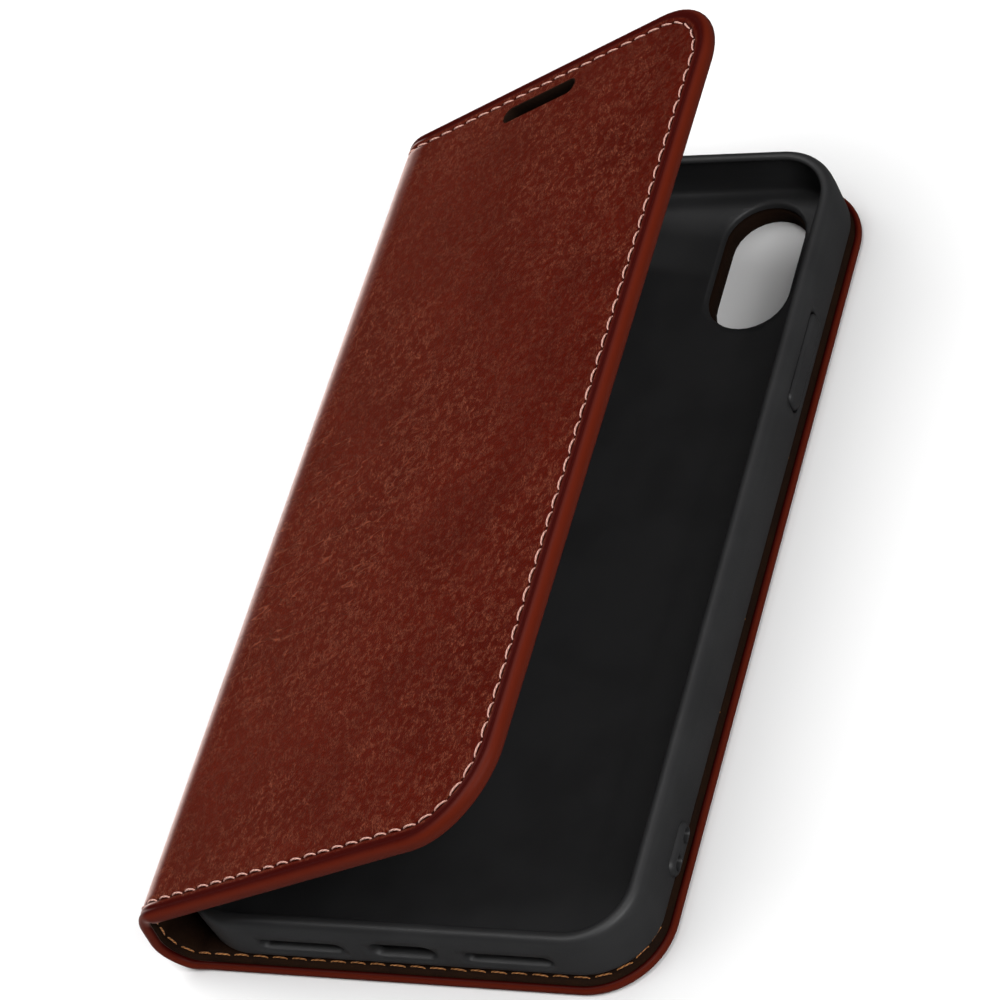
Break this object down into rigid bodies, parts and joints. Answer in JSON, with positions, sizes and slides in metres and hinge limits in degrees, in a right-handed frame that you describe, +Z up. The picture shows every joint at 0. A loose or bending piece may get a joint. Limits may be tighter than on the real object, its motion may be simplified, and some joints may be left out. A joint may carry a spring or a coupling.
{
  "type": "phone wallet case",
  "caption": "Folding book-style phone wallet case: leather skin over boards, a soft phone tray and card pockets inside the cover.",
  "frame": {"origin": "on the outside face of the back cover, under the middle of the phone tray", "axes": "+X towards the opening side, +Y towards the earpiece end, +Z up through the tray, away from the back cover"},
  "size_m": [0.0855, 0.1594, 0.0524],
  "materials": {
    "leather": "satin, pebbled grain",
    "lining": "matte",
    "board": "grey board, matte",
    "foam": "thin padding, matte",
    "adhesive": "satin",
    "soft_plastic": "satin",
    "pale_thread": "matte",
    "amber_thread": "matte",
    "magnet_metal": "satin"
  },
  "bodies": {
    "back": {"back_cover_leather": "leather", "back_board": "board", "back_lining": "lining", "tray_adhesive": "adhesive", "back_outer_thread": "pale_thread", "back_inner_thread": "amber_thread", "back_plate_upper": "magnet_metal", "back_plate_lower": "magnet_metal", "phone_tray": "soft_plastic"},
    "spine": {"spine_leather": "leather", "spine_lining": "lining", "spine_outer_thread_top": "pale_thread", "spine_outer_thread_bottom": "pale_thread", "spine_inner_thread_top": "amber_thread", "spine_inner_thread_bottom": "amber_thread"},
    "front": {"front_cover_leather": "leather", "front_foam": "foam", "front_board": "board", "front_lining": "lining", "front_outer_thread": "pale_thread", "front_inner_thread": "amber_thread", "bill_pocket_panel": "lining", "card_pocket_rear_panel": "lining", "card_pocket_front_panel": "lining", "card_pocket_thread": "amber_thread", "cover_magnet_upper": "magnet_metal", "cover_magnet_lower": "magnet_metal"},
    "side_button": {"side_button_pad": "soft_plastic"},
    "volume_up": {"volume_up_pad": "soft_plastic"},
    "volume_down": {"volume_down_pad": "soft_plastic"}
  },
  "joints": [
    {"name": "spine_fold", "type": "hinge", "parent": "back", "child": "spine", "pos_m": [-0.04214, 0, 0.00319], "axis": [0, -1, 0], "range_deg": [-2, 178]},
    {"name": "cover_fold", "type": "hinge", "parent": "spine", "child": "front", "pos_m": [-0.04191, 0, 0.01573], "axis": [0, -1, 0], "range_deg": [-23.7, 156.3]},
    {"name": "side_button_press", "type": "slide", "parent": "back", "child": "side_button", "axis": [-1, 0, 0], "range_m": [0, 0.0006]},
    {"name": "volume_up_press", "type": "slide", "parent": "back", "child": "volume_up", "axis": [1, 0, 0], "range_m": [0, 0.0006]},
    {"name": "volume_down_press", "type": "slide", "parent": "back", "child": "volume_down", "axis": [1, 0, 0], "range_m": [0, 0.0006]}
  ]
}
